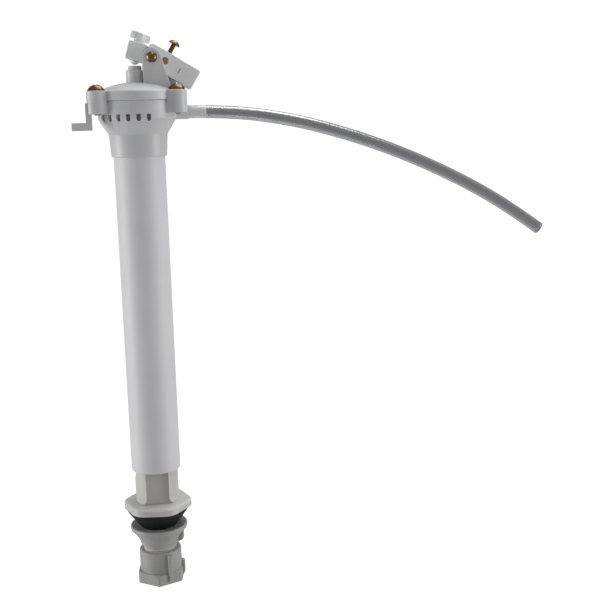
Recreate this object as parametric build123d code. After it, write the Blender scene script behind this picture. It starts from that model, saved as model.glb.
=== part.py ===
"""Diaphragm float valve for a cistern, as separate named pieces.

Millimetres.  The origin is the middle of the tank hole, on the valve's axis, in the plane of the
flange's underside.  +Z runs up the valve, +X towards the refill hose and the float arm, and -Y is
the front.  The model rests with the float arm down on its stop, so the valve is open.
"""
from build123d import *
import math
import os

os.makedirs("parts", exist_ok=True)

# ---------------------------------------------------------------- driving dimensions
FIT = 0.05                      # radial clearance of a running fit
GAP = 0.3                       # clearance between bodies that only pass each other
PAST = 1.0                      # how far a cutting tool runs past what it cuts

SHANK_R = 11.1                  # 7/8 inch threaded shank
SHANK_BORE_R = 7.0
SHANK_BOTTOM = -42.0
THREAD_PITCH = 25.4 / 14
THREAD_DEPTH = 0.75

FLANGE_R = 23.8                 # hexagon, across corners / 2
FLANGE_TURN = -8.7              # degrees from +X of the first corner
FLANGE_TOP = 4.8
FLANGE_CORNER = 10.0            # rounding of the hexagon's corners

CORE_R = 14.1                   # ribbed column between the flange and the casing
POCKET_W = 14.8                 # water outlet pockets, front and back
POCKET_FLOOR_Y = 10.2
POCKET_FOOT = 2.4               # how much wider the pocket is at its foot
NOTCH_H = 6.5                   # notch at the column's top left

WASHER_R = (20.5, 12.6)         # cone washer, at the flange and at its foot
WASHER_BOTTOM = -12.5
LOCK_NUT_BOTTOM = -25.0
LOCK_EAR_TURN = -18.0           # degrees from +X

COUPLING_TOP = -28.9
COUPLING_R = 13.9               # skirt
COUPLING_HEX_TOP = -43.2
COUPLING_HEX_R = 16.7           # across corners / 2
COUPLING_BOTTOM = -50.5
COUPLING_TURN = -97.2           # degrees from +X of the first corner
COUPLING_FLOOR = -46.0
INLET_R = 8.0

CASING_R = 16.0                 # 32 mm casing pipe
CASING_WALL = 2.05
CASING_BOTTOM = 27.0
CASING_TOP = 243.0
SPIGOT_TOP = 44.0

RISER_R = 6.5                   # inner pressure pipe
RISER_BORE_R = 5.0
RISER_SOCKET_Z = 12.0
RISER_TOP = 251.0
RISER_SEALS = (17.0, 246.0)     # heights of its O-rings
SEAL_GROOVE = 0.8
SEAL_CORD_R = 0.4

COLLAR_BOTTOM = 231.0
COLLAR_R = (17.3, 18.15)        # at its lower and upper end
BOWL_R = 24.2
BOWL_WALL = 2.5
BOWL_Z = (244.6, 254.2)         # cone between the collar and the cylinder
SEAM_Z = 265.2                  # joint between valve body and bonnet
DECK_Z = (259.0, 261.2)         # discharge deck inside the bowl
SEAT_R = 6.5
SEAT_BORE_R = 4.2
SEAT_TOP = SEAM_Z - 2.2
COLUMN_R = 8.5                  # hole in the deck that the seat column fits
COLUMN_BOTTOM = 240.0
SHOULDER_R = 10.0               # its shoulder under the deck
SHOULDER_H = 1.5
BAFFLE_R = 19.8                 # splash ring behind the air slots

SLOT_W = 2.6                    # air slots
SLOT_Z = (252.7, 256.9)
SLOT_STEP = 15.0                # degrees from one slot to the next
SLOT_TURN = 1.1                 # degrees of the slot nearest the front

LUG_R = 6.05
LUG_CIRCLE_R = 28.0
LUG_ANGLES = (-29.0, 91.0, 211.0)
LUG_Z = (257.2, 271.2)
LUG_SEAM_Z = 263.9

RIM_R = 24.9
DOME_TOP = 276.5
DOME_SPHERE_R = 57.0
DOME_WALL = 3.0

SCREW_HEAD_R = 5.3
SCREW_HEAD_H = 3.9
SCREW_SHANK_R = 2.0

PIVOT_X = 10.4                  # lever pivot
PIVOT_Z = 291.05
PIN_R = 2.0
EAR_R = 5.65
EAR_Y = (6.3, 9.3)              # inner and outer face of each ear
EAR_FLARE = 15.5                # degrees of the ear's outer edge
EAR_FOOT = 268.0                # height inside the dome where the ears and the stop begin

GUIDE_R = 5.6
GUIDE_TOP = 283.7
PLUNGER_R = 4.1
PLUNGER_TOP = 286.3

NOSE_TILT = 17.1                # degrees, the nose rises to the left
NOSE_LEFT = -15.5               # nose block, along and square to the nose
NOSE_N = (-4.5, 6.5)
NOSE_HALF_W = 5.5
NOSE_EDGE = (-4.6, 4.0, -2.4, 7.0)      # where the wide nose ends beside the pivot
CHEEK_EDGE = (-3.0, 3.0, -0.4, 8.1)     # where the arm's cheeks begin
ARM_TILT = 31.7                 # degrees, the arm falls to the right
ARM_TOP = 8.1                   # distances from the pivot, square to the arm
ARM_BOTTOM = -4.8
ARM_LENGTH = 30.1
ARM_HALF_W = 6.0
SLIT_S = (18.2, 18.8)            # slit in the arm's front, along and square to the arm
SLIT_N = (-0.3, 3.3)
SLIT_DEPTH = 1.2
CHANNEL_HALF_W = 3.1            # slot between the arm's cheeks
LEVER_HALF_W = 2.8
HUB_R = 5.9
HEEL_TOP = -1.7
HEEL_LENGTH = 11.4
BARREL_S = 8.1                  # barrel nut, along and square to the arm
BARREL_N = 2.4
BARREL_R = 2.2
LEVEL_SCREW_R = 1.6
WING_U = -9.5                   # wing screw's axis, along the nose
WING_SCREW_R = 2.45
TIP_N = -7.0                    # end of its round tip
ROD_R = 3.0                     # thread root radius of the 1/4 inch float rod hole
ROD_DEPTH = 12.0

NIPPLE_Z = 257.7
NIPPLE_BORE_R = 1.8
BOSS_R = 4.4
BOSS_END = 31.65
NIPPLE_R = 3.05
NIPPLE_END = 42.5
HOSE_R = 4.0
HOSE_BORE_R = 3.1

# points of the refill hose's route, x and z, in the plane y = 0
HOSE_ROUTE = [
    (31.65, 257.7), (58.0, 257.6), (98.0, 251.5), (137.0, 240.5),
    (175.0, 226.2), (212.0, 208.5), (243.0, 190.5), (265.5, 174.3),
]


# ---------------------------------------------------------------- helpers
def disc(r, z0, z1, x=0.0, y=0.0):
    """A cylinder along Z between two heights."""
    return Pos(x, y, (z0 + z1) / 2) * Cylinder(r, z1 - z0)


def block(x0, x1, y0, y1, z0, z1):
    """A box given by its limits."""
    return Pos((x0 + x1) / 2, (y0 + y1) / 2, (z0 + z1) / 2) * Box(x1 - x0, y1 - y0, z1 - z0)


def lathe(points):
    """Turn a closed outline of (r, z) points about the Z axis."""
    outline = Polyline([(r, 0, z) for r, z in points], close=True)
    return revolve(make_face(outline), Axis.Z)


def along_y(r, y0, y1, x=0.0, z=0.0):
    """A cylinder along Y."""
    return Pos(x, (y0 + y1) / 2, z) * Rot(90, 0, 0) * Cylinder(r, y1 - y0)


def along_x(r, x0, x1, z):
    """A cylinder along X at y = 0."""
    return Pos((x0 + x1) / 2, 0, z) * Rot(0, 90, 0) * Cylinder(r, x1 - x0)


def plate_xz(points, y0, y1):
    """A plate whose outline is given by (x, z) points, between two y values."""
    outline = Polyline([(x, y0, z) for x, z in points], close=True)
    return extrude(make_face(outline), amount=y1 - y0, dir=(0, 1, 0))


def left_of(edge):
    """Everything left of a bent edge beside the pivot: upright at low_x, then slanting to the right."""
    low_x, bend_z, high_x, high_z = edge
    reach = 25.0
    points = [(-reach, -reach), (low_x, -reach), (low_x, bend_z), (high_x, high_z), (high_x, reach),
              (-reach, reach)]
    return Pos(PIVOT_X, 0, PIVOT_Z) * plate_xz(points, -10, 10)


def at_pivot(tilt):
    """The lever frame: X along the lever, Z square to it, origin at the pivot."""
    return Pos(PIVOT_X, 0, PIVOT_Z) * Rot(0, tilt, 0)


def on_arm(s, n):
    """Position of a point given along (s) and square to (n) the resting arm."""
    a = math.radians(ARM_TILT)
    x = PIVOT_X + s * math.cos(a) + n * math.sin(a)
    z = PIVOT_Z - s * math.sin(a) + n * math.cos(a)
    return x, z


def thread_profile(crest, z_low, z_high, pitch, depth):
    """Outline points of annular thread ridges, from the low end to the high end."""
    root = crest - depth
    points = [(root, z_low)]
    for i in range(int((z_high - z_low) / pitch)):
        z = z_low + i * pitch
        for r, share in ((root, 0.15), (crest, 0.42), (crest, 0.58), (root, 0.85)):
            points.append((r, z + share * pitch))
    points.append((root, z_high))
    return points


def cross_recess(r, z_top, depth, width):
    """Two crossed slots to cut into a screw head."""
    slot = block(-r, r, -width / 2, width / 2, z_top - depth, z_top + PAST)
    return slot + Rot(0, 0, 90) * slot


def domed_head(r, h):
    """A screw head that stands on z = 0: a slice of a sphere."""
    sphere_r = (r ** 2 + h ** 2) / (2 * h)
    return Pos(0, 0, h - sphere_r) * Sphere(sphere_r) & disc(r, 0, h)


def soften(shape, face_axis, last, radius):
    """Round all edges of a shape's first or last face along an axis."""
    face = shape.faces().sort_by(face_axis)[-1 if last else 0]
    return fillet(face.edges(), radius)


# ---------------------------------------------------------------- shank, seals and nuts
def base_shank():
    """Flanged base: threaded shank below, ribbed column and casing spigot above."""
    root = SHANK_R - THREAD_DEPTH
    hexagon = Rot(0, 0, FLANGE_TURN) * RegularPolygon(FLANGE_R, 6)
    flange = extrude(hexagon, FLANGE_TOP)
    flange = fillet(flange.edges().filter_by(Axis.Z), FLANGE_CORNER)
    flange = soften(flange, Axis.Z, True, 1.5)
    column = disc(CORE_R, 1, CASING_BOTTOM)
    spigot = disc(CASING_R - CASING_WALL - FIT, 1, SPIGOT_TOP)
    thread = thread_profile(SHANK_R, SHANK_BOTTOM + 1, -1, THREAD_PITCH, THREAD_DEPTH)
    shank = lathe([(0, SHANK_BOTTOM), (root, SHANK_BOTTOM)] + thread + [(root, 1), (0, 1)])
    body = flange + column + spigot + shank
    pocket = outlet_pocket()
    body -= pocket
    body -= Rot(0, 0, 180) * pocket
    body -= block(-CORE_R - 2, -CORE_R + 1, -4, 4, CASING_BOTTOM - NOTCH_H, CASING_BOTTOM)
    body -= disc(SHANK_BORE_R, SHANK_BOTTOM - PAST, RISER_SOCKET_Z - 4)
    body -= disc(RISER_BORE_R, 0, RISER_SOCKET_Z + PAST)
    body -= disc(RISER_R + FIT, RISER_SOCKET_Z, SPIGOT_TOP + PAST)
    return body


def outlet_pocket():
    """The front pocket, whose foot widens in two arcs towards the flange."""
    half = POCKET_W / 2
    wide = half + POCKET_FOOT
    flare_top = FLANGE_TOP + 2 * POCKET_FOOT
    high = SPIGOT_TOP + PAST
    line = Polyline((-wide, FLANGE_TOP), (wide, FLANGE_TOP))
    right = RadiusArc((wide, FLANGE_TOP), (half, flare_top), 5.4)
    sides = Polyline((half, flare_top), (half, high), (-half, high), (-half, flare_top))
    left = RadiusArc((-half, flare_top), (-wide, FLANGE_TOP), 5.4)
    face = Plane.XZ.offset(POCKET_FLOOR_Y) * make_face([line, right, sides, left])
    return extrude(face, amount=CORE_R + 2 - POCKET_FLOOR_Y)


def cone_washer():
    """Rubber tank washer, a cone that tapers down."""
    bore = SHANK_R + FIT
    top_r, foot_r = WASHER_R
    return lathe([(bore, 0), (top_r - 0.5, 0), (top_r, -0.6), (top_r - 0.3, -1.4),
                  (foot_r, WASHER_BOTTOM + 0.5), (foot_r - 0.6, WASHER_BOTTOM), (bore, WASHER_BOTTOM)])


def lock_nut():
    """Plastic nut with a flared, dished top and a grip ear."""
    bore = SHANK_R + 0.1
    top = WASHER_BOTTOM - GAP
    profile = [(bore, top), (13.2, top), (17.9, -11.9), (18.5, -12.1), (18.8, -12.7), (18.9, -13.4),
               (18.4, -15.0), (16.6, -16.8), (15.3, -18.6), (14.2, -20.4), (13.2, -22.6),
               (12.5, LOCK_NUT_BOTTOM), (bore, LOCK_NUT_BOTTOM)]
    nut = lathe(profile)
    reach = 16.4
    ear = plate_xz([(11.6, -15.0), (reach, -15.0), (reach, -22.4), (reach - 0.8, -23.2), (11.9, -24.6)],
                   -2.0, 2.0)
    nut += Rot(0, 0, LOCK_EAR_TURN) * ear
    return nut - disc(bore, -30, 0)


def coupling_nut():
    """Supply coupling nut: round skirt, hexagon foot and two grip wings."""
    top = COUPLING_TOP
    hex_top = COUPLING_HEX_TOP
    bottom = COUPLING_BOTTOM
    r = COUPLING_R
    skirt = lathe([(0, hex_top - 1), (r, hex_top - 1), (r, top - 1.2), (r - 0.3, top - 0.4),
                   (r - 0.9, top), (0, top)])
    hexagon = Rot(0, 0, COUPLING_TURN) * RegularPolygon(COUPLING_HEX_R, 6)
    foot = Pos(0, 0, bottom) * extrude(hexagon, hex_top - bottom)
    foot = fillet(foot.edges().filter_by(Axis.Z), 2.0)
    cone = Pos(0, 0, (bottom + hex_top) / 2) * Cylinder(COUPLING_HEX_R, hex_top - bottom)
    cone = chamfer(cone.edges().sort_by(Axis.Z)[-1], 2.0, 1.2)
    nut = skirt + (foot & cone)
    for turn, high in ((COUPLING_TURN + 30, -30.4), (COUPLING_TURN + 90, -38.6)):
        nut += Rot(0, 0, turn) * grip_wing(high)
    nut -= disc(SHANK_R + 0.1, COUPLING_FLOOR, top + 1)
    nut -= disc(INLET_R, bottom - 1, top)
    return nut


def grip_wing(high):
    """A wing on the coupling nut's +X side, with its outer edges rounded."""
    reach = 16.1
    low = COUPLING_BOTTOM + 1.5
    wing = plate_xz([(10, high), (15.2, high), (reach, high - 1.0), (reach, low + 2.5),
                     (15.0, low), (10, low)], -1.5, 1.5)
    return fillet(wing.edges().filter_by(Axis.Z).sort_by(Axis.X)[-2:], 0.7)


def coupling_washer():
    """Rubber supply washer between the shank's end and the coupling nut's floor."""
    bore = 6.4
    low = COUPLING_FLOOR + GAP
    return lathe([(bore, low), (7.6, low), (10.6, low + 2.1), (10.6, SHANK_BOTTOM), (bore, SHANK_BOTTOM)])


# ---------------------------------------------------------------- pipes
def casing_tube():
    """Outer pipe from the base up into the valve body's collar."""
    inner = CASING_R - CASING_WALL
    low = CASING_BOTTOM
    return lathe([(inner + 0.3, low), (CASING_R - 0.5, low), (CASING_R - 0.15, low + 0.15),
                  (CASING_R, low + 0.5), (CASING_R, CASING_TOP - 0.4), (CASING_R - 0.4, CASING_TOP),
                  (inner, CASING_TOP), (inner, low + 0.3)])


def riser_pipe():
    """Inner pressure pipe with an O-ring groove near each end."""
    pipe = disc(RISER_R, RISER_SOCKET_Z, RISER_TOP) - disc(RISER_BORE_R, 0, RISER_TOP + PAST)
    for z in RISER_SEALS:
        pipe -= disc(RISER_R + PAST, z - 0.9, z + 0.9) - disc(RISER_R - SEAL_GROOVE, z - 2, z + 2)
    return pipe


def riser_o_rings():
    """The two rubber rings that seal the riser in its sockets."""
    major = RISER_R - SEAL_GROOVE + SEAL_CORD_R + 0.02
    return [Pos(0, 0, z) * Torus(major, SEAL_CORD_R) for z in RISER_SEALS]


# ---------------------------------------------------------------- valve body
def lug(angle, z0, z1, soft_top):
    """A screw lug with a web back to the wall, rounded at its top or at its foot."""
    post = disc(LUG_R, z0, z1, LUG_CIRCLE_R)
    web = block(15, LUG_CIRCLE_R, -LUG_R, LUG_R, z0, z1)
    shape = soften(post + web, Axis.Z, soft_top, 0.6)
    return Rot(0, 0, angle) * shape


def lug_places():
    """Centres of the three screw lugs."""
    return [(LUG_CIRCLE_R * math.cos(math.radians(a)), LUG_CIRCLE_R * math.sin(math.radians(a)))
            for a in LUG_ANGLES]


def hanger():
    """L-shaped hanger on the left lug."""
    front = -17.4
    back = -10.4
    low = 247.7
    right = -27.5
    leg_left = -31.0
    foot_left = -39.6
    foot_top = 252.4
    leg = block(leg_left, right, front, back, low, LUG_SEAM_Z)
    foot = block(foot_left, right, front, back, low, foot_top)
    shape = leg + foot
    return fillet(shape.edges().filter_by(Axis.Y), 0.4)


def air_slots():
    """Air break slots, in two mirrored rows through the wall."""
    half = SLOT_W / 2
    low = SLOT_Z[0] + half
    outline = block(BAFFLE_R + 1, 30, -half, half, low, SLOT_Z[1])
    outline += along_x(half, BAFFLE_R + 1, 30, low)
    slots = []
    for k in range(-4, 2):
        turn = SLOT_STEP * k + SLOT_TURN
        slots.append(Rot(0, 0, -90 + turn) * outline)
        slots.append(Rot(0, 0, 90 - turn) * outline)
    return slots


def bowl_cavity():
    """The hollows of the valve body above and below its discharge deck."""
    socket_r = CASING_R + FIT
    neck_r = 15.2
    inner = BOWL_R - BOWL_WALL
    under = COLLAR_BOTTOM - PAST
    lower = lathe([(0, under), (socket_r, under), (socket_r, CASING_TOP), (neck_r, CASING_TOP),
                   (neck_r, CASING_TOP + 3), (inner, BOWL_Z[1] - 0.6), (inner, DECK_Z[0]), (0, DECK_Z[0])])
    upper = disc(18.5, DECK_Z[1], SEAM_Z + 1) + disc(22.0, SEAM_Z - 2.0, SEAM_Z + 1)
    return lower + upper


def valve_body():
    """Bowl, collar, discharge deck, lugs, hanger and refill nipple in one moulding."""
    edge = 0.4
    shell = lathe([(0, COLLAR_BOTTOM), (COLLAR_R[0] - edge, COLLAR_BOTTOM),
                   (COLLAR_R[0], COLLAR_BOTTOM + edge), (COLLAR_R[1], BOWL_Z[0]),
                   (BOWL_R, BOWL_Z[1]), (BOWL_R, SEAM_Z - edge), (BOWL_R - edge, SEAM_Z), (0, SEAM_Z)])
    shell = fillet(shell.edges().filter_by(GeomType.CIRCLE).filter_by_position(Axis.Z, *BOWL_Z), 1.2)
    for angle in LUG_ANGLES:
        shell += lug(angle, LUG_Z[0], LUG_SEAM_Z, False)
    shell += hanger()
    shell += along_x(BOSS_R, 15, BOSS_END, NIPPLE_Z)
    shell += chamfer(along_x(NIPPLE_R, 15, NIPPLE_END, NIPPLE_Z).edges().sort_by(Axis.X)[-1], 0.5)
    shell -= bowl_cavity()
    baffle_low = SLOT_Z[0] - 0.5
    shell += disc(BAFFLE_R, baffle_low, DECK_Z[1]) - disc(BAFFLE_R - 1.2, baffle_low - 1, DECK_Z[0])
    shell -= disc(COLUMN_R, DECK_Z[0] - PAST, DECK_Z[1] + PAST)
    for i in range(6):
        shell -= Rot(0, 0, 60 * i + 30) * Pos(13.5, 0, 260) * Cylinder(3.0, 4)
    for slot in air_slots():
        shell -= slot
    for x, y in lug_places():
        shell -= disc(SCREW_SHANK_R + FIT, LUG_Z[0] - 1, LUG_Z[1], x, y)
    return shell - along_x(NIPPLE_BORE_R, BAFFLE_R - 2, NIPPLE_END + 1, NIPPLE_Z)


def seat_column():
    """Seat column: riser socket below, the diaphragm's seat on top, a shoulder under the deck."""
    column = disc(COLUMN_R - FIT, COLUMN_BOTTOM, DECK_Z[1]) + disc(SEAT_R, DECK_Z[0], SEAT_TOP)
    column += disc(SHOULDER_R, DECK_Z[0] - SHOULDER_H, DECK_Z[0])
    column -= disc(SEAT_BORE_R, COLUMN_BOTTOM, SEAM_Z)
    return column - disc(RISER_R + FIT, COLUMN_BOTTOM - PAST, RISER_TOP + GAP)


def diaphragm():
    """Rubber diaphragm clamped between valve body and bonnet."""
    return lathe([(0, SEAM_Z - 2.0), (21.8, SEAM_Z - 2.0), (21.8, SEAM_Z), (18.6, SEAM_Z),
                  (17.4, SEAM_Z - 0.5), (0, SEAM_Z - 0.5)]) - disc(1.2, 250, 280)


def diaphragm_insert():
    """Stiff centre of the diaphragm, with the pilot hole."""
    plate = disc(6.0, SEAM_Z - 0.5, SEAM_Z + 0.7) + disc(3.0, SEAM_Z, SEAM_Z + 1.25)
    return plate - disc(0.7, 250, 280)


# ---------------------------------------------------------------- bonnet
def ear(side):
    """One ear: round top about the pivot, upright left edge and flared right edge."""
    flare = math.radians(EAR_FLARE)
    top_x = PIVOT_X + EAR_R * math.cos(flare)
    top_z = PIVOT_Z + EAR_R * math.sin(flare)
    foot_x = top_x + (top_z - EAR_FOOT) * math.tan(flare)
    left_x = PIVOT_X - EAR_R
    y0, y1 = sorted((side * EAR_Y[0], side * EAR_Y[1]))
    points = [(left_x, EAR_FOOT), (foot_x, EAR_FOOT), (top_x, top_z), (left_x, PIVOT_Z)]
    shape = plate_xz(points, y0, y1) + along_y(EAR_R, y0, y1, PIVOT_X, PIVOT_Z)
    return soften(shape, Axis.Y, side > 0, 0.5)


def stop_web():
    """Web between the ears that the arm's underside rests on."""
    high = on_arm(8.5, ARM_BOTTOM - 0.35)
    low = on_arm(20.2, ARM_BOTTOM - 0.35)
    return plate_xz([(high[0], EAR_FOOT), high, low, (low[0], EAR_FOOT)], -3.0, 3.0)


def dome(shrink):
    """The dome's sphere, moved inwards by shrink."""
    return Pos(0, 0, DOME_TOP - DOME_SPHERE_R) * Sphere(DOME_SPHERE_R - shrink)


def dome_cover():
    """The round cover under a spherical top, with its rim's edges eased."""
    rim_z = DOME_TOP - DOME_SPHERE_R + math.sqrt(DOME_SPHERE_R ** 2 - RIM_R ** 2)
    side = Polyline((0, DOME_TOP), (0, SEAM_Z), (RIM_R, SEAM_Z), (RIM_R, rim_z))
    crown = RadiusArc((RIM_R, rim_z), (0, DOME_TOP), -DOME_SPHERE_R)
    outline = make_face([side, crown])
    corners = outline.vertices().group_by(Axis.X)[-1].sort_by(Axis.Y)
    outline = fillet(corners[-1], 1.3)
    outline = chamfer(outline.vertices().sort_by(Axis.Y)[:2].sort_by(Axis.X)[-1], 0.35)
    return revolve(Plane.XZ * outline, Axis.Z)


def bonnet():
    """Domed cover with its lugs, plunger guide, pivot ears and arm stop."""
    cover = dome_cover()
    for angle in LUG_ANGLES:
        cover += lug(angle, LUG_SEAM_Z, LUG_Z[1], True) - disc(RIM_R - 0.1, 255, SEAM_Z + 0.2)
    cover += chamfer(disc(GUIDE_R, EAR_FOOT, GUIDE_TOP).edges().sort_by(Axis.Z)[-1], 0.4)
    cover += ear(-1)
    cover += ear(1)
    cover += stop_web()
    cover -= disc(18.5, SEAM_Z - 1, DOME_TOP) & dome(DOME_WALL)
    cover -= disc(PLUNGER_R + FIT, SEAM_Z, GUIDE_TOP + 1)
    cover -= along_y(PIN_R + FIT, -12, 12, PIVOT_X, PIVOT_Z)
    for x, y in lug_places():
        cover -= disc(SCREW_SHANK_R + 0.2, LUG_SEAM_Z - 1, LUG_Z[1] + 1, x, y)
        cover -= disc(SCREW_HEAD_R + 0.15, LUG_Z[1], LUG_Z[1] + SCREW_HEAD_H, x, y)
    return cover


def bonnet_screw():
    """Brass screw with a domed, cross-recessed head; its head rests at z = 0."""
    length = LUG_Z[1] - LUG_Z[0] + 0.6
    shank = chamfer(disc(SCREW_SHANK_R, -length, 0).edges().sort_by(Axis.Z)[0], 0.6)
    recess = cross_recess(2.2, SCREW_HEAD_H, 1.4, 0.9)
    return domed_head(SCREW_HEAD_R, SCREW_HEAD_H) + shank - recess


def bonnet_screws():
    """The three bonnet screws."""
    screw = bonnet_screw()
    return [Pos(x, y, LUG_Z[1]) * screw for x, y in lug_places()]


# ---------------------------------------------------------------- lever mechanism
def pivot_pin():
    """Brass pin with a domed head at the front."""
    shank = along_y(PIN_R, -EAR_Y[1], EAR_Y[1] + 2.2, PIVOT_X, PIVOT_Z)
    head = Pos(PIVOT_X, -EAR_Y[1], PIVOT_Z) * Rot(90, 0, 0) * domed_head(3.35, 2.0)
    return shank + head


def pivot_clip():
    """Push-on ring that holds the pin at the back."""
    ring = along_y(3.6, EAR_Y[1], EAR_Y[1] + 1.0, PIVOT_X, PIVOT_Z)
    return ring - along_y(PIN_R, 0, 20, PIVOT_X, PIVOT_Z)


def lever():
    """Lever: hub on the pin, nose with the wing screw, heel inside the arm's channel."""
    w = LEVER_HALF_W
    low, high = NOSE_N
    nose = block(NOSE_LEFT, 0, -NOSE_HALF_W, NOSE_HALF_W, low, high)
    nose = fillet(nose.edges().filter_by(Axis.Y).sort_by(Axis.X)[0:2], 1.0)
    nose = soften(nose, Axis.Y, False, 0.4)
    nose = soften(nose, Axis.Y, True, 0.4)
    nose = at_pivot(NOSE_TILT) * nose & left_of(NOSE_EDGE)
    neck = at_pivot(NOSE_TILT) * block(WING_U, 0, -w, w, low, 6.0)
    heel = at_pivot(ARM_TILT) * block(0, HEEL_LENGTH, -w, w, ARM_BOTTOM + 0.1, HEEL_TOP)
    shape = nose + neck + heel + along_y(HUB_R, -w, w, PIVOT_X, PIVOT_Z)
    shape -= along_y(PIN_R + FIT, -12, 12, PIVOT_X, PIVOT_Z)
    return shape - at_pivot(NOSE_TILT) * disc(WING_SCREW_R + FIT, -12, 12, WING_U)


def wing_screw():
    """White thumb screw through the nose; its round tip presses the plunger."""
    r = WING_SCREW_R
    head_r = 3.4
    ball_r = 3.0
    shoulder = NOSE_N[1] + FIT
    stem = lathe([(0, -6.0), (r, -6.0), (r, shoulder), (head_r, shoulder), (head_r, 12.2),
                  (head_r - 0.4, 12.6), (0, 12.6)])
    ball = Pos(0, 0, TIP_N + ball_r) * Sphere(ball_r)
    stem += ball & disc(ball_r, TIP_N, NOSE_N[0] - GAP)
    left = wing(12.8, 8.4)
    right = Rot(0, 0, 180) * wing(12.4, 7.8)
    return at_pivot(NOSE_TILT) * Pos(WING_U, 0, 0) * Rot(0, 0, 18) * (stem + left + right)


def wing(top, low):
    """One thumb wing of the wing screw, on its left side, with its outer edges rounded."""
    reach = 6.0
    half_thick = 1.4
    plate = block(-reach, 0, -half_thick, half_thick, low, top)
    return fillet(plate.edges().filter_by(Axis.Y).sort_by(Axis.X)[0:2], 0.9)


def float_arm():
    """Forked arm: two cheeks on the pin, a bored block for the float rod."""
    w = ARM_HALF_W
    c = CHANNEL_HALF_W
    bar = block(0, ARM_LENGTH, -w, 0, ARM_BOTTOM, ARM_TOP)
    bar = fillet(bar.edges().filter_by(Axis.Y).sort_by(Axis.X)[-2:], 1.2)
    front_half = soften(along_y(ARM_TOP, -w, 0) + bar, Axis.Y, False, 0.5)
    arm = front_half + mirror(front_half, Plane.XZ)
    arm -= block(-10, 14, -c, c, -10, 6.6)
    arm -= block(-10, 4.3, -c, c, 0, 10)
    arm -= along_y(PIN_R + FIT, -15, 15)
    arm -= along_y(BARREL_R + 0.02, -15, 15, BARREL_S, BARREL_N)
    arm -= disc(LEVEL_SCREW_R + GAP, 5, 10, BARREL_S)
    rod_z = (ARM_TOP + ARM_BOTTOM) / 2
    arm -= along_x(ROD_R, ARM_LENGTH - ROD_DEPTH, ARM_LENGTH + PAST, rod_z)
    arm -= block(*SLIT_S, -w - PAST, -w + SLIT_DEPTH, *SLIT_N)
    return at_pivot(ARM_TILT) * arm - left_of(CHEEK_EDGE)


def barrel_nut():
    """Brass cross barrel in the arm, threaded for the level screw."""
    barrel = chamfer(along_y(BARREL_R, -ARM_HALF_W, ARM_HALF_W).edges().filter_by(GeomType.CIRCLE), 0.3)
    barrel = Pos(BARREL_S, 0, BARREL_N) * barrel
    return at_pivot(ARM_TILT) * (barrel - disc(LEVEL_SCREW_R + FIT, -5, 10, BARREL_S))


def level_screw():
    """Brass screw, square to the arm, whose tip stands on the lever's heel."""
    head_under = 14.3
    head_h = 2.5
    tip = HEEL_TOP + GAP
    thread = thread_profile(LEVEL_SCREW_R, tip, head_under, 0.8, 0.28)
    shank = lathe([(0, tip)] + thread + [(0, head_under)])
    head = Pos(0, 0, head_under) * domed_head(3.75, head_h)
    head -= cross_recess(2.0, head_under + head_h, 1.3, 0.8)
    return at_pivot(ARM_TILT) * Pos(BARREL_S, 0, 0) * (shank + head)


# ---------------------------------------------------------------- plunger
def plunger():
    """Pilot plunger in the bonnet's guide, with a groove for its O-ring."""
    r = PLUNGER_R
    return lathe([(0, 270.6), (2.2, 270.6), (2.2, 273.0), (r, 274.0), (r, 277.3), (r - 1.2, 277.3),
                  (r - 1.2, 278.7), (r, 278.7), (r, PLUNGER_TOP - 0.5), (r - 0.5, PLUNGER_TOP),
                  (0, PLUNGER_TOP)])


def plunger_o_ring():
    """Rubber ring in the plunger's groove."""
    cord_r = 0.6
    return Pos(0, 0, 278.0) * Torus(PLUNGER_R + 0.03 - cord_r, cord_r)


def pilot_seal():
    """Rubber disc on the plunger's foot that closes the pilot hole."""
    return disc(2.0, 269.7, 270.6)


# ---------------------------------------------------------------- refill hose
def refill_hose():
    """Clear vinyl hose: straight runs joined by the largest arcs that fit."""
    points = [Vector(x, 0, z) for x, z in HOSE_ROUTE]
    radii = []
    for before, here, after in zip(points, points[1:], points[2:]):
        half_turn = math.radians((here - before).get_angle(after - here)) / 2
        shorter = min((here - before).length, (after - here).length)
        radii.append(0.45 * shorter / math.tan(half_turn))
    print("hose bend radii", [round(r, 1) for r in radii])
    path = FilletPolyline(*points, radius=radii)
    ring = Circle(HOSE_R) - Circle(HOSE_BORE_R)
    hose = sweep(Plane(origin=points[0], z_dir=(1, 0, 0)) * ring, path)
    expected = math.pi * (HOSE_R ** 2 - HOSE_BORE_R ** 2) * path.length
    print("hose length", round(path.length, 1))
    print("hose volume", round(hose.volume, 1), "expected", round(expected, 1))
    return hose


# ---------------------------------------------------------------- write every node
NODES = [
    base_shank, cone_washer, lock_nut, coupling_nut, coupling_washer, casing_tube, riser_pipe,
    riser_o_rings, valve_body, seat_column, diaphragm, diaphragm_insert, bonnet, bonnet_screws,
    pivot_pin, pivot_clip, lever, wing_screw, float_arm, barrel_nut, level_screw, plunger, plunger_o_ring,
    pilot_seal, refill_hose,
]


def write(name, shape):
    """Write one node; a list becomes one file of separate solids."""
    if isinstance(shape, list):
        shape = Compound(children=shape)
    shape.label = name
    export_step(shape, f"parts/{name}.step")


for make in NODES:
    write(make.__name__, make())
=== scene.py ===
"""Looks of the float valve: camera, refill hose, studio and materials.

Everything is in metres in the part's own frame: the origin is the middle of the tank hole, +Z runs
up the valve, +X towards the refill hose, and -Y is the front.
"""
import math

import bmesh
import bpy
from mathutils import Matrix, Vector


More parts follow.
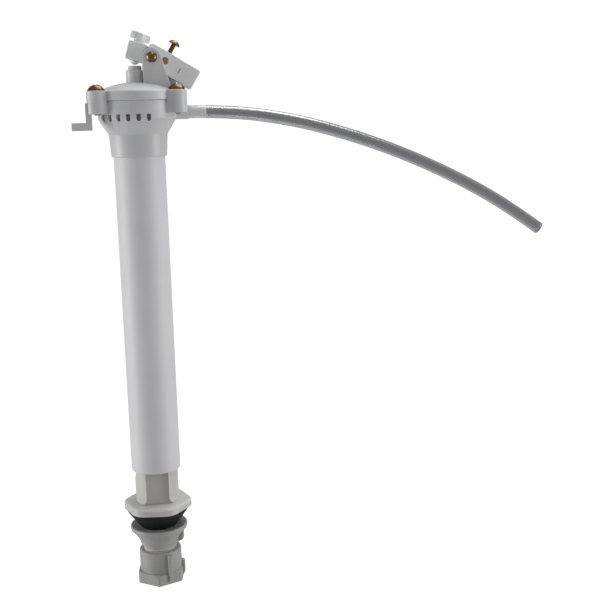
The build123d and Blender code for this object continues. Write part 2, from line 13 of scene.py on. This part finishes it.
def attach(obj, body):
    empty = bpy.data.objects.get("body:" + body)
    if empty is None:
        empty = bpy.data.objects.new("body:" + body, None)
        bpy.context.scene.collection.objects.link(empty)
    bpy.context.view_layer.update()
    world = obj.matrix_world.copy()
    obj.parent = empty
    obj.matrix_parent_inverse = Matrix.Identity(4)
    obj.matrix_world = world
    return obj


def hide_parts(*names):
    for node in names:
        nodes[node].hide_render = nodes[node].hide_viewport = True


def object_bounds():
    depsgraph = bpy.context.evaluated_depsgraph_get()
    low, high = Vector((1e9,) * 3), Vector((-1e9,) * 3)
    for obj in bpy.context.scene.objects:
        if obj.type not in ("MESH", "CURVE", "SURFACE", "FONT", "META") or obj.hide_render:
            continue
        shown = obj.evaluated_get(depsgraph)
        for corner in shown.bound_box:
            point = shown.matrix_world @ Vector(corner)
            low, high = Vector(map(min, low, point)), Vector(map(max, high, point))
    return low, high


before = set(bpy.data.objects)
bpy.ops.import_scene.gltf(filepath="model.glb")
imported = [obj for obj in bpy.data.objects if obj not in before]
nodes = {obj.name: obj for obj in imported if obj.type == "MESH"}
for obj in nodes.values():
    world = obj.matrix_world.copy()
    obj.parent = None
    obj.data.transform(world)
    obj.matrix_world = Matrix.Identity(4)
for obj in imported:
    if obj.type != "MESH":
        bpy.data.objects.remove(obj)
CAD_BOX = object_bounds()

MM = 0.001
scene = bpy.context.scene


# ---------------------------------------------------------------- camera
CAMERA_LENS = 60.0                        # mm, on a 36 mm sensor
CAMERA_PLACE = (-0.0077, -0.64177, 0.24994)
CAMERA_HEADING = 9.5                      # degrees from +Y towards +X
CAMERA_PITCH = 10.12                      # degrees below level
CAMERA_ROLL = -1.51                       # degrees, anticlockwise is positive


def make_camera():
    """The camera at the photograph's viewing angle."""
    data = bpy.data.cameras.new("camera")
    data.lens = CAMERA_LENS
    data.sensor_width = 36.0
    data.clip_start = 0.01
    data.clip_end = 50.0
    camera = bpy.data.objects.new("camera", data)
    scene.collection.objects.link(camera)
    heading = Matrix.Rotation(math.radians(-CAMERA_HEADING), 4, "Z")
    pitch = Matrix.Rotation(math.radians(90 - CAMERA_PITCH), 4, "X")
    roll = Matrix.Rotation(math.radians(CAMERA_ROLL), 4, "Z")
    camera.matrix_world = Matrix.Translation(CAMERA_PLACE) @ heading @ pitch @ roll
    scene.camera = camera


# ---------------------------------------------------------------- mesh helpers
def add_mesh(name, bm):
    """Make a smooth-shaded scene object from a bmesh."""
    mesh = bpy.data.meshes.new(name)
    bmesh.ops.recalc_face_normals(bm, faces=bm.faces)
    bm.to_mesh(mesh)
    bm.free()
    for polygon in mesh.polygons:
        polygon.use_smooth = True
    obj = bpy.data.objects.new(name, mesh)
    scene.collection.objects.link(obj)
    return obj


def ring_of(bm, points):
    """A list of new vertices at these points."""
    return [bm.verts.new(p) for p in points]


def bridge(bm, first, second):
    """Quads between two rings of as many vertices."""
    count = len(first)
    for i in range(count):
        j = (i + 1) % count
        bm.faces.new((first[i], first[j], second[j], second[i]))


def lathe(bm, profile, segments):
    """Turn an open outline of (r, z) points about Z."""
    rings = []
    for r, z in profile:
        angles = [2 * math.pi * i / segments for i in range(segments)]
        rings.append(ring_of(bm, [(r * math.cos(a), r * math.sin(a), z) for a in angles]))
    for low, high in zip(rings, rings[1:]):
        bridge(bm, low, high)
    return rings


# ---------------------------------------------------------------- refill hose
HOSE_D = 8.0 * MM
HOSE_BORE_D = 6.2 * MM
HOSE_SIDES = 40
HOSE_CUT_EDGE = 0.12 * MM                 # rounding of the cut ends
NIPPLE_END = 42.5 * MM                    # the valve's nipple reaches this far into the hose
# the route's points, x and z in mm, in the plane y = 0
HOSE_ROUTE = [
    (31.65, 257.7), (58.0, 257.6), (98.0, 251.5), (137.0, 240.5),
    (175.0, 226.2), (212.0, 208.5), (243.0, 190.5), (265.5, 174.3),
]


def spline_points(name, route):
    """Points read from the smooth NURBS curve that a route controls."""
    curve = bpy.data.curves.new(name, "CURVE")
    curve.dimensions = "3D"
    curve.resolution_u = 24
    spline = curve.splines.new("NURBS")
    spline.points.add(len(route) - 1)
    for point, place in zip(spline.points, route):
        point.co = (*place, 1.0)
    spline.order_u = 3
    spline.use_endpoint_u = True
    carrier = bpy.data.objects.new(name, curve)
    scene.collection.objects.link(carrier)
    bpy.context.view_layer.update()
    mesh = bpy.data.meshes.new_from_object(carrier)
    points = [v.co.copy() for v in mesh.vertices]
    bpy.data.meshes.remove(mesh)
    bpy.data.objects.remove(carrier)
    return points


def hose_rings(bm, line, radius):
    """Rings of vertices square to the hose's line, in the plane y = 0."""
    rings = []
    for i, here in enumerate(line):
        ahead = line[min(i + 1, len(line) - 1)]
        behind = line[max(i - 1, 0)]
        along = (ahead - behind).normalized()
        side = Vector((0, 1, 0))
        up = side.cross(along)
        ring = []
        for k in range(HOSE_SIDES):
            turn = 2 * math.pi * k / HOSE_SIDES
            ring.append(here + radius * (math.cos(turn) * side + math.sin(turn) * up))
        rings.append(ring_of(bm, ring))
    return rings


def make_hose():
    """Hollow clear hose along the NURBS line, with softened cut ends."""
    line = spline_points("hose_route", [(x * MM, 0.0, z * MM) for x, z in HOSE_ROUTE])
    bm = bmesh.new()
    outer = hose_rings(bm, line, HOSE_D / 2)
    inner = hose_rings(bm, line, HOSE_BORE_D / 2)
    for rings in (outer, inner):
        for low, high in zip(rings, rings[1:]):
            bridge(bm, low, high)
    for end in (0, -1):
        bridge(bm, outer[end], inner[end])
    hose = add_mesh("hose", bm)
    rounded = hose.modifiers.new("cut_ends", "BEVEL")
    rounded.width = HOSE_CUT_EDGE
    rounded.segments = 2
    rounded.limit_method = "ANGLE"
    rounded.angle_limit = math.radians(60)
    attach(hose, "valve")
    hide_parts("refill_hose")
    return hose


# ---------------------------------------------------------------- studio
FLOOR_Z = CAD_BOX[0].z
MIDDLE = Vector((0.04, 0.0, 0.13))        # what the side lights point at
HEAD = Vector((0.02, 0.0, 0.27))          # what the top light points at
LIGHT_BELOW = (0.64, 0.64, 0.635)
LIGHT_LEVEL = (0.228, 0.228, 0.231)
LIGHT_ABOVE = (0.50, 0.51, 0.53)


def make_stage():
    """A white floor that curves up into a round wall far behind everything.

    Only the camera sees it, so it neither lights the valve nor mirrors in it.
    """
    flat = 3.0
    sweep = 1.2
    wall = 3.4
    profile = [(0.02, 0.0), (0.6, 0.0), (1.5, 0.0), (flat, 0.0)]
    for i in range(1, 13):
        turn = math.radians(90 * i / 12)
        profile.append((flat + sweep * math.sin(turn), sweep * (1 - math.cos(turn))))
    profile.append((flat + sweep, wall))
    bm = bmesh.new()
    rings = lathe(bm, [(r, z + FLOOR_Z) for r, z in profile], 64)
    bm.faces.new(rings[0])
    stage = add_mesh("studio_floor", bm)
    stage.visible_diffuse = False
    stage.visible_glossy = False
    stage.visible_transmission = False
    stage.visible_shadow = False
    stage.data.materials.append(stage_paper())


def stage_paper():
    """White background paper, mostly self-lit, so that hardly any shadow shows on it."""
    look = Look("studio_paper", {"Roughness": 0.9, "Specular IOR Level": 0.1})
    fibre = look.noise(60.0, detail=4)
    look.colour(fibre, (0.27, 0.27, 0.27), (0.29, 0.29, 0.29))
    look.shader.inputs["Emission Color"].default_value = (1.0, 1.0, 1.0, 1.0)
    look.shader.inputs["Emission Strength"].default_value = 0.93
    return look.material


def make_world():
    """Studio light from all round: strongest from below, then from above, and weak from the sides."""
    world = bpy.data.worlds.new("studio")
    world.use_nodes = True
    tree = world.node_tree
    background = tree.nodes["Background"]
    place = tree.nodes.new("ShaderNodeTexCoord")
    split = tree.nodes.new("ShaderNodeSeparateXYZ")
    ramp = tree.nodes.new("ShaderNodeValToRGB")
    up = tree.nodes.new("ShaderNodeMapRange")
    up.inputs["From Min"].default_value = -1.0
    up.inputs["From Max"].default_value = 1.0
    tree.links.new(place.outputs["Generated"], split.inputs[0])
    tree.links.new(split.outputs["Z"], up.inputs["Value"])
    tree.links.new(up.outputs[0], ramp.inputs[0])
    tree.links.new(ramp.outputs[0], background.inputs["Color"])
    ramp.color_ramp.elements[0].color = (*LIGHT_BELOW, 1)
    ramp.color_ramp.elements[1].color = (*LIGHT_ABOVE, 1)
    middle = ramp.color_ramp.elements.new(0.5)
    middle.color = (*LIGHT_LEVEL, 1)
    scene.world = world


def softbox(name, target, far, azimuth, elevation, width, height, power):
    """An area light that faces the target; azimuth 0 is behind the camera and 90 is on the right."""
    data = bpy.data.lights.new(name, "AREA")
    data.shape = "RECTANGLE"
    data.size = width
    data.size_y = height
    data.energy = power
    light = bpy.data.objects.new(name, data)
    scene.collection.objects.link(light)
    turn = math.radians(azimuth - CAMERA_HEADING)
    level = math.cos(math.radians(elevation))
    towards = Vector((math.sin(turn) * level, -math.cos(turn) * level, math.sin(math.radians(elevation))))
    light.location = target + far * towards
    light.rotation_mode = "QUATERNION"
    light.rotation_quaternion = towards.to_track_quat("Z", "Y")


def make_lights():
    """Two tall softboxes at the sides and one overhead."""
    softbox("left_softbox", MIDDLE, far=1.25, azimuth=-80, elevation=0, width=0.5, height=1.0, power=8.6)
    softbox("right_softbox", MIDDLE, far=1.25, azimuth=82, elevation=0, width=0.5, height=1.0, power=6.4)
    softbox("top_softbox", HEAD, far=0.6, azimuth=130, elevation=68, width=0.5, height=0.5, power=3.0)


# ---------------------------------------------------------------- materials
EVEN_SPREAD = (1.0, 0.9, 0.85)            # how far white plastics scatter red, green and blue


class Look:
    """A Principled material built up from procedural layers in the object's own space."""

    def __init__(self, name, constants):
        self.material = bpy.data.materials.new(name)
        self.material.use_nodes = True
        tree = self.material.node_tree
        self.nodes = tree.nodes
        self.links = tree.links
        self.shader = self.nodes["Principled BSDF"]
        self.place = self.nodes.new("ShaderNodeTexCoord").outputs["Object"]
        for socket, value in constants.items():
            self.shader.inputs[socket].default_value = value

    def stretched(self, stretch):
        """Object coordinates divided by a stretch along each axis."""
        mapping = self.nodes.new("ShaderNodeMapping")
        mapping.inputs["Scale"].default_value = [1 / s for s in stretch]
        self.links.new(self.place, mapping.inputs["Vector"])
        return mapping.outputs["Vector"]

    def noise(self, size, detail=2, stretch=(1, 1, 1)):
        """Noise with blotches of about this size in mm."""
        texture = self.nodes.new("ShaderNodeTexNoise")
        texture.inputs["Scale"].default_value = 1 / (size * MM)
        texture.inputs["Detail"].default_value = detail
        self.links.new(self.stretched(stretch), texture.inputs["Vector"])
        return texture.outputs["Fac"]

    def cells(self, size, stretch=(1, 1, 1)):
        """Distance to the nearest of scattered points about this far apart in mm."""
        texture = self.nodes.new("ShaderNodeTexVoronoi")
        texture.inputs["Scale"].default_value = 1 / (size * MM)
        self.links.new(self.stretched(stretch), texture.inputs["Vector"])
        return texture.outputs["Distance"]

    def ranged(self, value, low, high, start=0.3, end=0.7):
        """Map a value between start and end onto low to high."""
        node = self.nodes.new("ShaderNodeMapRange")
        node.inputs["From Min"].default_value = start
        node.inputs["From Max"].default_value = end
        node.inputs["To Min"].default_value = low
        node.inputs["To Max"].default_value = high
        self.links.new(value, node.inputs["Value"])
        return node.outputs["Result"]

    def blend(self, value, first, second):
        """A colour between two others; each is a tuple or another blend."""
        node = self.nodes.new("ShaderNodeMix")
        node.data_type = "RGBA"
        self.links.new(value, node.inputs["Factor"])
        for socket, colour in ((node.inputs[6], first), (node.inputs[7], second)):
            if isinstance(colour, tuple):
                socket.default_value = (*colour, 1.0)
            else:
                self.links.new(colour, socket)
        return node.outputs[2]

    def colour(self, value, first, second):
        """Set the base colour to a blend."""
        self.links.new(self.blend(self.ranged(value, 0, 1), first, second), self.shader.inputs["Base Color"])

    def roughness(self, value, low, high):
        """Let the roughness vary."""
        self.links.new(self.ranged(value, low, high), self.shader.inputs["Roughness"])

    def relief(self, layers, edge=0.2):
        """Stack bumps on softened edges; each layer is a height from 0 to 1 and its depth in mm."""
        soft = self.nodes.new("ShaderNodeBevel")
        soft.samples = 6
        soft.inputs["Radius"].default_value = edge * MM
        normal = soft.outputs["Normal"]
        for height, depth in layers:
            bump = self.nodes.new("ShaderNodeBump")
            bump.inputs["Distance"].default_value = depth * MM
            self.links.new(height, bump.inputs["Height"])
            self.links.new(normal, bump.inputs["Normal"])
            normal = bump.outputs["Normal"]
        self.links.new(normal, self.shader.inputs["Normal"])


def moulded_plastic(name, light, dark, rough, see_in=0.12, depth=1.0):
    """Injection-moulded plastic: faint flow clouds, orange peel and a scatter of fine dust pits."""
    look = Look(name, {"IOR": 1.48, "Subsurface Weight": see_in, "Subsurface Scale": depth * MM,
                       "Subsurface Radius": EVEN_SPREAD})
    clouds = look.noise(14.0, detail=4)
    peel = look.noise(0.9, detail=2)
    grain = look.noise(0.18, detail=3)
    look.colour(clouds, dark, light)
    look.roughness(look.noise(3.0, detail=3), rough - 0.07, rough + 0.07)
    look.relief([(peel, 0.012), (grain, 0.006)])
    return look.material


def extruded_plastic():
    """Casing pipe: die lines along its length and a fine matt grain."""
    look = Look("pipe_plastic", {"IOR": 1.5, "Subsurface Weight": 0.1, "Subsurface Scale": 1.0 * MM,
                                 "Subsurface Radius": EVEN_SPREAD})
    streaks = look.noise(0.7, detail=3, stretch=(1, 1, 60))
    grain = look.noise(0.25, detail=3)
    clouds = look.noise(22.0, detail=3)
    look.colour(clouds, (0.695, 0.69, 0.705), (0.73, 0.725, 0.735))
    look.roughness(streaks, 0.42, 0.56)
    look.relief([(streaks, 0.008), (grain, 0.007)])
    return look.material


def nylon():
    """Natural nylon nuts: greyer, slightly translucent, with scuffs."""
    look = Look("nut_plastic", {"IOR": 1.53, "Subsurface Weight": 0.3, "Subsurface Scale": 2.0 * MM,
                                "Subsurface Radius": EVEN_SPREAD})
    clouds = look.noise(7.0, detail=4)
    scuffs = look.noise(0.5, detail=4, stretch=(1, 1, 4))
    look.colour(clouds, (0.355, 0.35, 0.342), (0.417, 0.412, 0.404))
    look.roughness(scuffs, 0.38, 0.58)
    look.relief([(look.noise(1.2), 0.015), (scuffs, 0.008)])
    return look.material


def rubber(name, tone):
    """Black rubber: fine matt grain with a trace of grey bloom."""
    look = Look(name, {"IOR": 1.5, "Specular IOR Level": 0.25})
    bloom = look.noise(5.0, detail=5)
    grain = look.noise(0.22, detail=4)
    look.colour(bloom, (tone, tone, tone), (tone * 1.9, tone * 1.9, tone * 1.95))
    look.roughness(look.noise(2.0, detail=4), 0.55, 0.78)
    look.relief([(grain, 0.02), (look.cells(0.8), 0.012)])
    return look.material


def brass(name, rough, tarnished, clean):
    """Turned brass: fine tool marks, and brown tarnish in patches."""
    look = Look(name, {"Metallic": 1.0})
    tarnish = look.noise(1.6, detail=5)
    marks = look.noise(0.12, detail=2, stretch=(1, 1, 5))
    look.colour(tarnish, tarnished, clean)
    look.roughness(tarnish, rough + 0.08, rough - 0.05)
    look.relief([(marks, 0.004)])
    return look.material


def clear_vinyl():
    """Clear flexible vinyl with a grey cast; it clings to the nipple and is clearest there."""
    look = Look("clear_vinyl", {"IOR": 1.5})
    die = look.noise(0.8, detail=3, stretch=(40, 1, 40))
    scuffs = look.noise(0.35, detail=4)
    split = look.nodes.new("ShaderNodeSeparateXYZ")
    look.links.new(look.place, split.inputs[0])
    past_nipple = look.ranged(split.outputs["X"], 0, 1, NIPPLE_END, NIPPLE_END + 0.6 * MM)
    cast = look.blend(look.noise(12.0, detail=3), (0.73, 0.73, 0.755), (0.77, 0.77, 0.79))
    tint = look.blend(past_nipple, (0.98, 0.98, 0.98), cast)
    look.links.new(tint, look.shader.inputs["Base Color"])
    clearness = look.ranged(split.outputs["X"], 0.4, 1, NIPPLE_END, NIPPLE_END + 0.6 * MM)
    look.links.new(clearness, look.shader.inputs["Transmission Weight"])
    look.roughness(scuffs, 0.03, 0.07)
    look.relief([(die, 0.001)], edge=0.05)
    return look.material


def dress(material, names):
    """Give these CAD nodes this material."""
    for name in names:
        mesh = nodes[name].data
        mesh.materials.clear()
        mesh.materials.append(material)


def dress_nodes():
    """Materials for every CAD node that shows."""
    white = moulded_plastic("white_plastic", (0.63, 0.63, 0.635), (0.60, 0.60, 0.61), 0.36)
    base = moulded_plastic("base_plastic", (0.63, 0.62, 0.605), (0.60, 0.59, 0.575), 0.36,
                           see_in=0.8, depth=3.0)
    inner = moulded_plastic("inner_plastic", (0.62, 0.62, 0.635), (0.58, 0.58, 0.60), 0.42)
    acetal = moulded_plastic("white_acetal", (0.84, 0.84, 0.835), (0.81, 0.81, 0.805), 0.42)
    dress(white, ["valve_body", "bonnet"])
    dress(acetal, ["lever", "wing_screw", "float_arm"])
    dress(base, ["base_shank"])
    dress(inner, ["plunger", "riser_pipe", "seat_column", "diaphragm_insert"])
    dress(extruded_plastic(), ["casing_tube"])
    dress(nylon(), ["lock_nut", "coupling_nut"])
    dress(rubber("washer_rubber", 0.006), ["cone_washer"])
    dress(rubber("seal_rubber", 0.03), ["coupling_washer", "riser_o_rings", "diaphragm", "plunger_o_ring",
                                        "pilot_seal"])
    dress(brass("brass_screws", 0.28, (0.075, 0.05, 0.03), (0.25, 0.175, 0.095)), ["bonnet_screws"])
    dress(brass("brass_small", 0.3, (0.08, 0.055, 0.025), (0.30, 0.22, 0.09)),
          ["pivot_pin", "pivot_clip", "level_screw"])
    dress(brass("brass_bright", 0.3, (0.28, 0.2, 0.1), (0.62, 0.5, 0.27)), ["barrel_nut"])


# ---------------------------------------------------------------- build
make_camera()
hose = make_hose()
hose.data.materials.append(clear_vinyl())
make_world()
make_stage()
make_lights()
dress_nodes()
scene.view_settings.view_transform = "Standard"
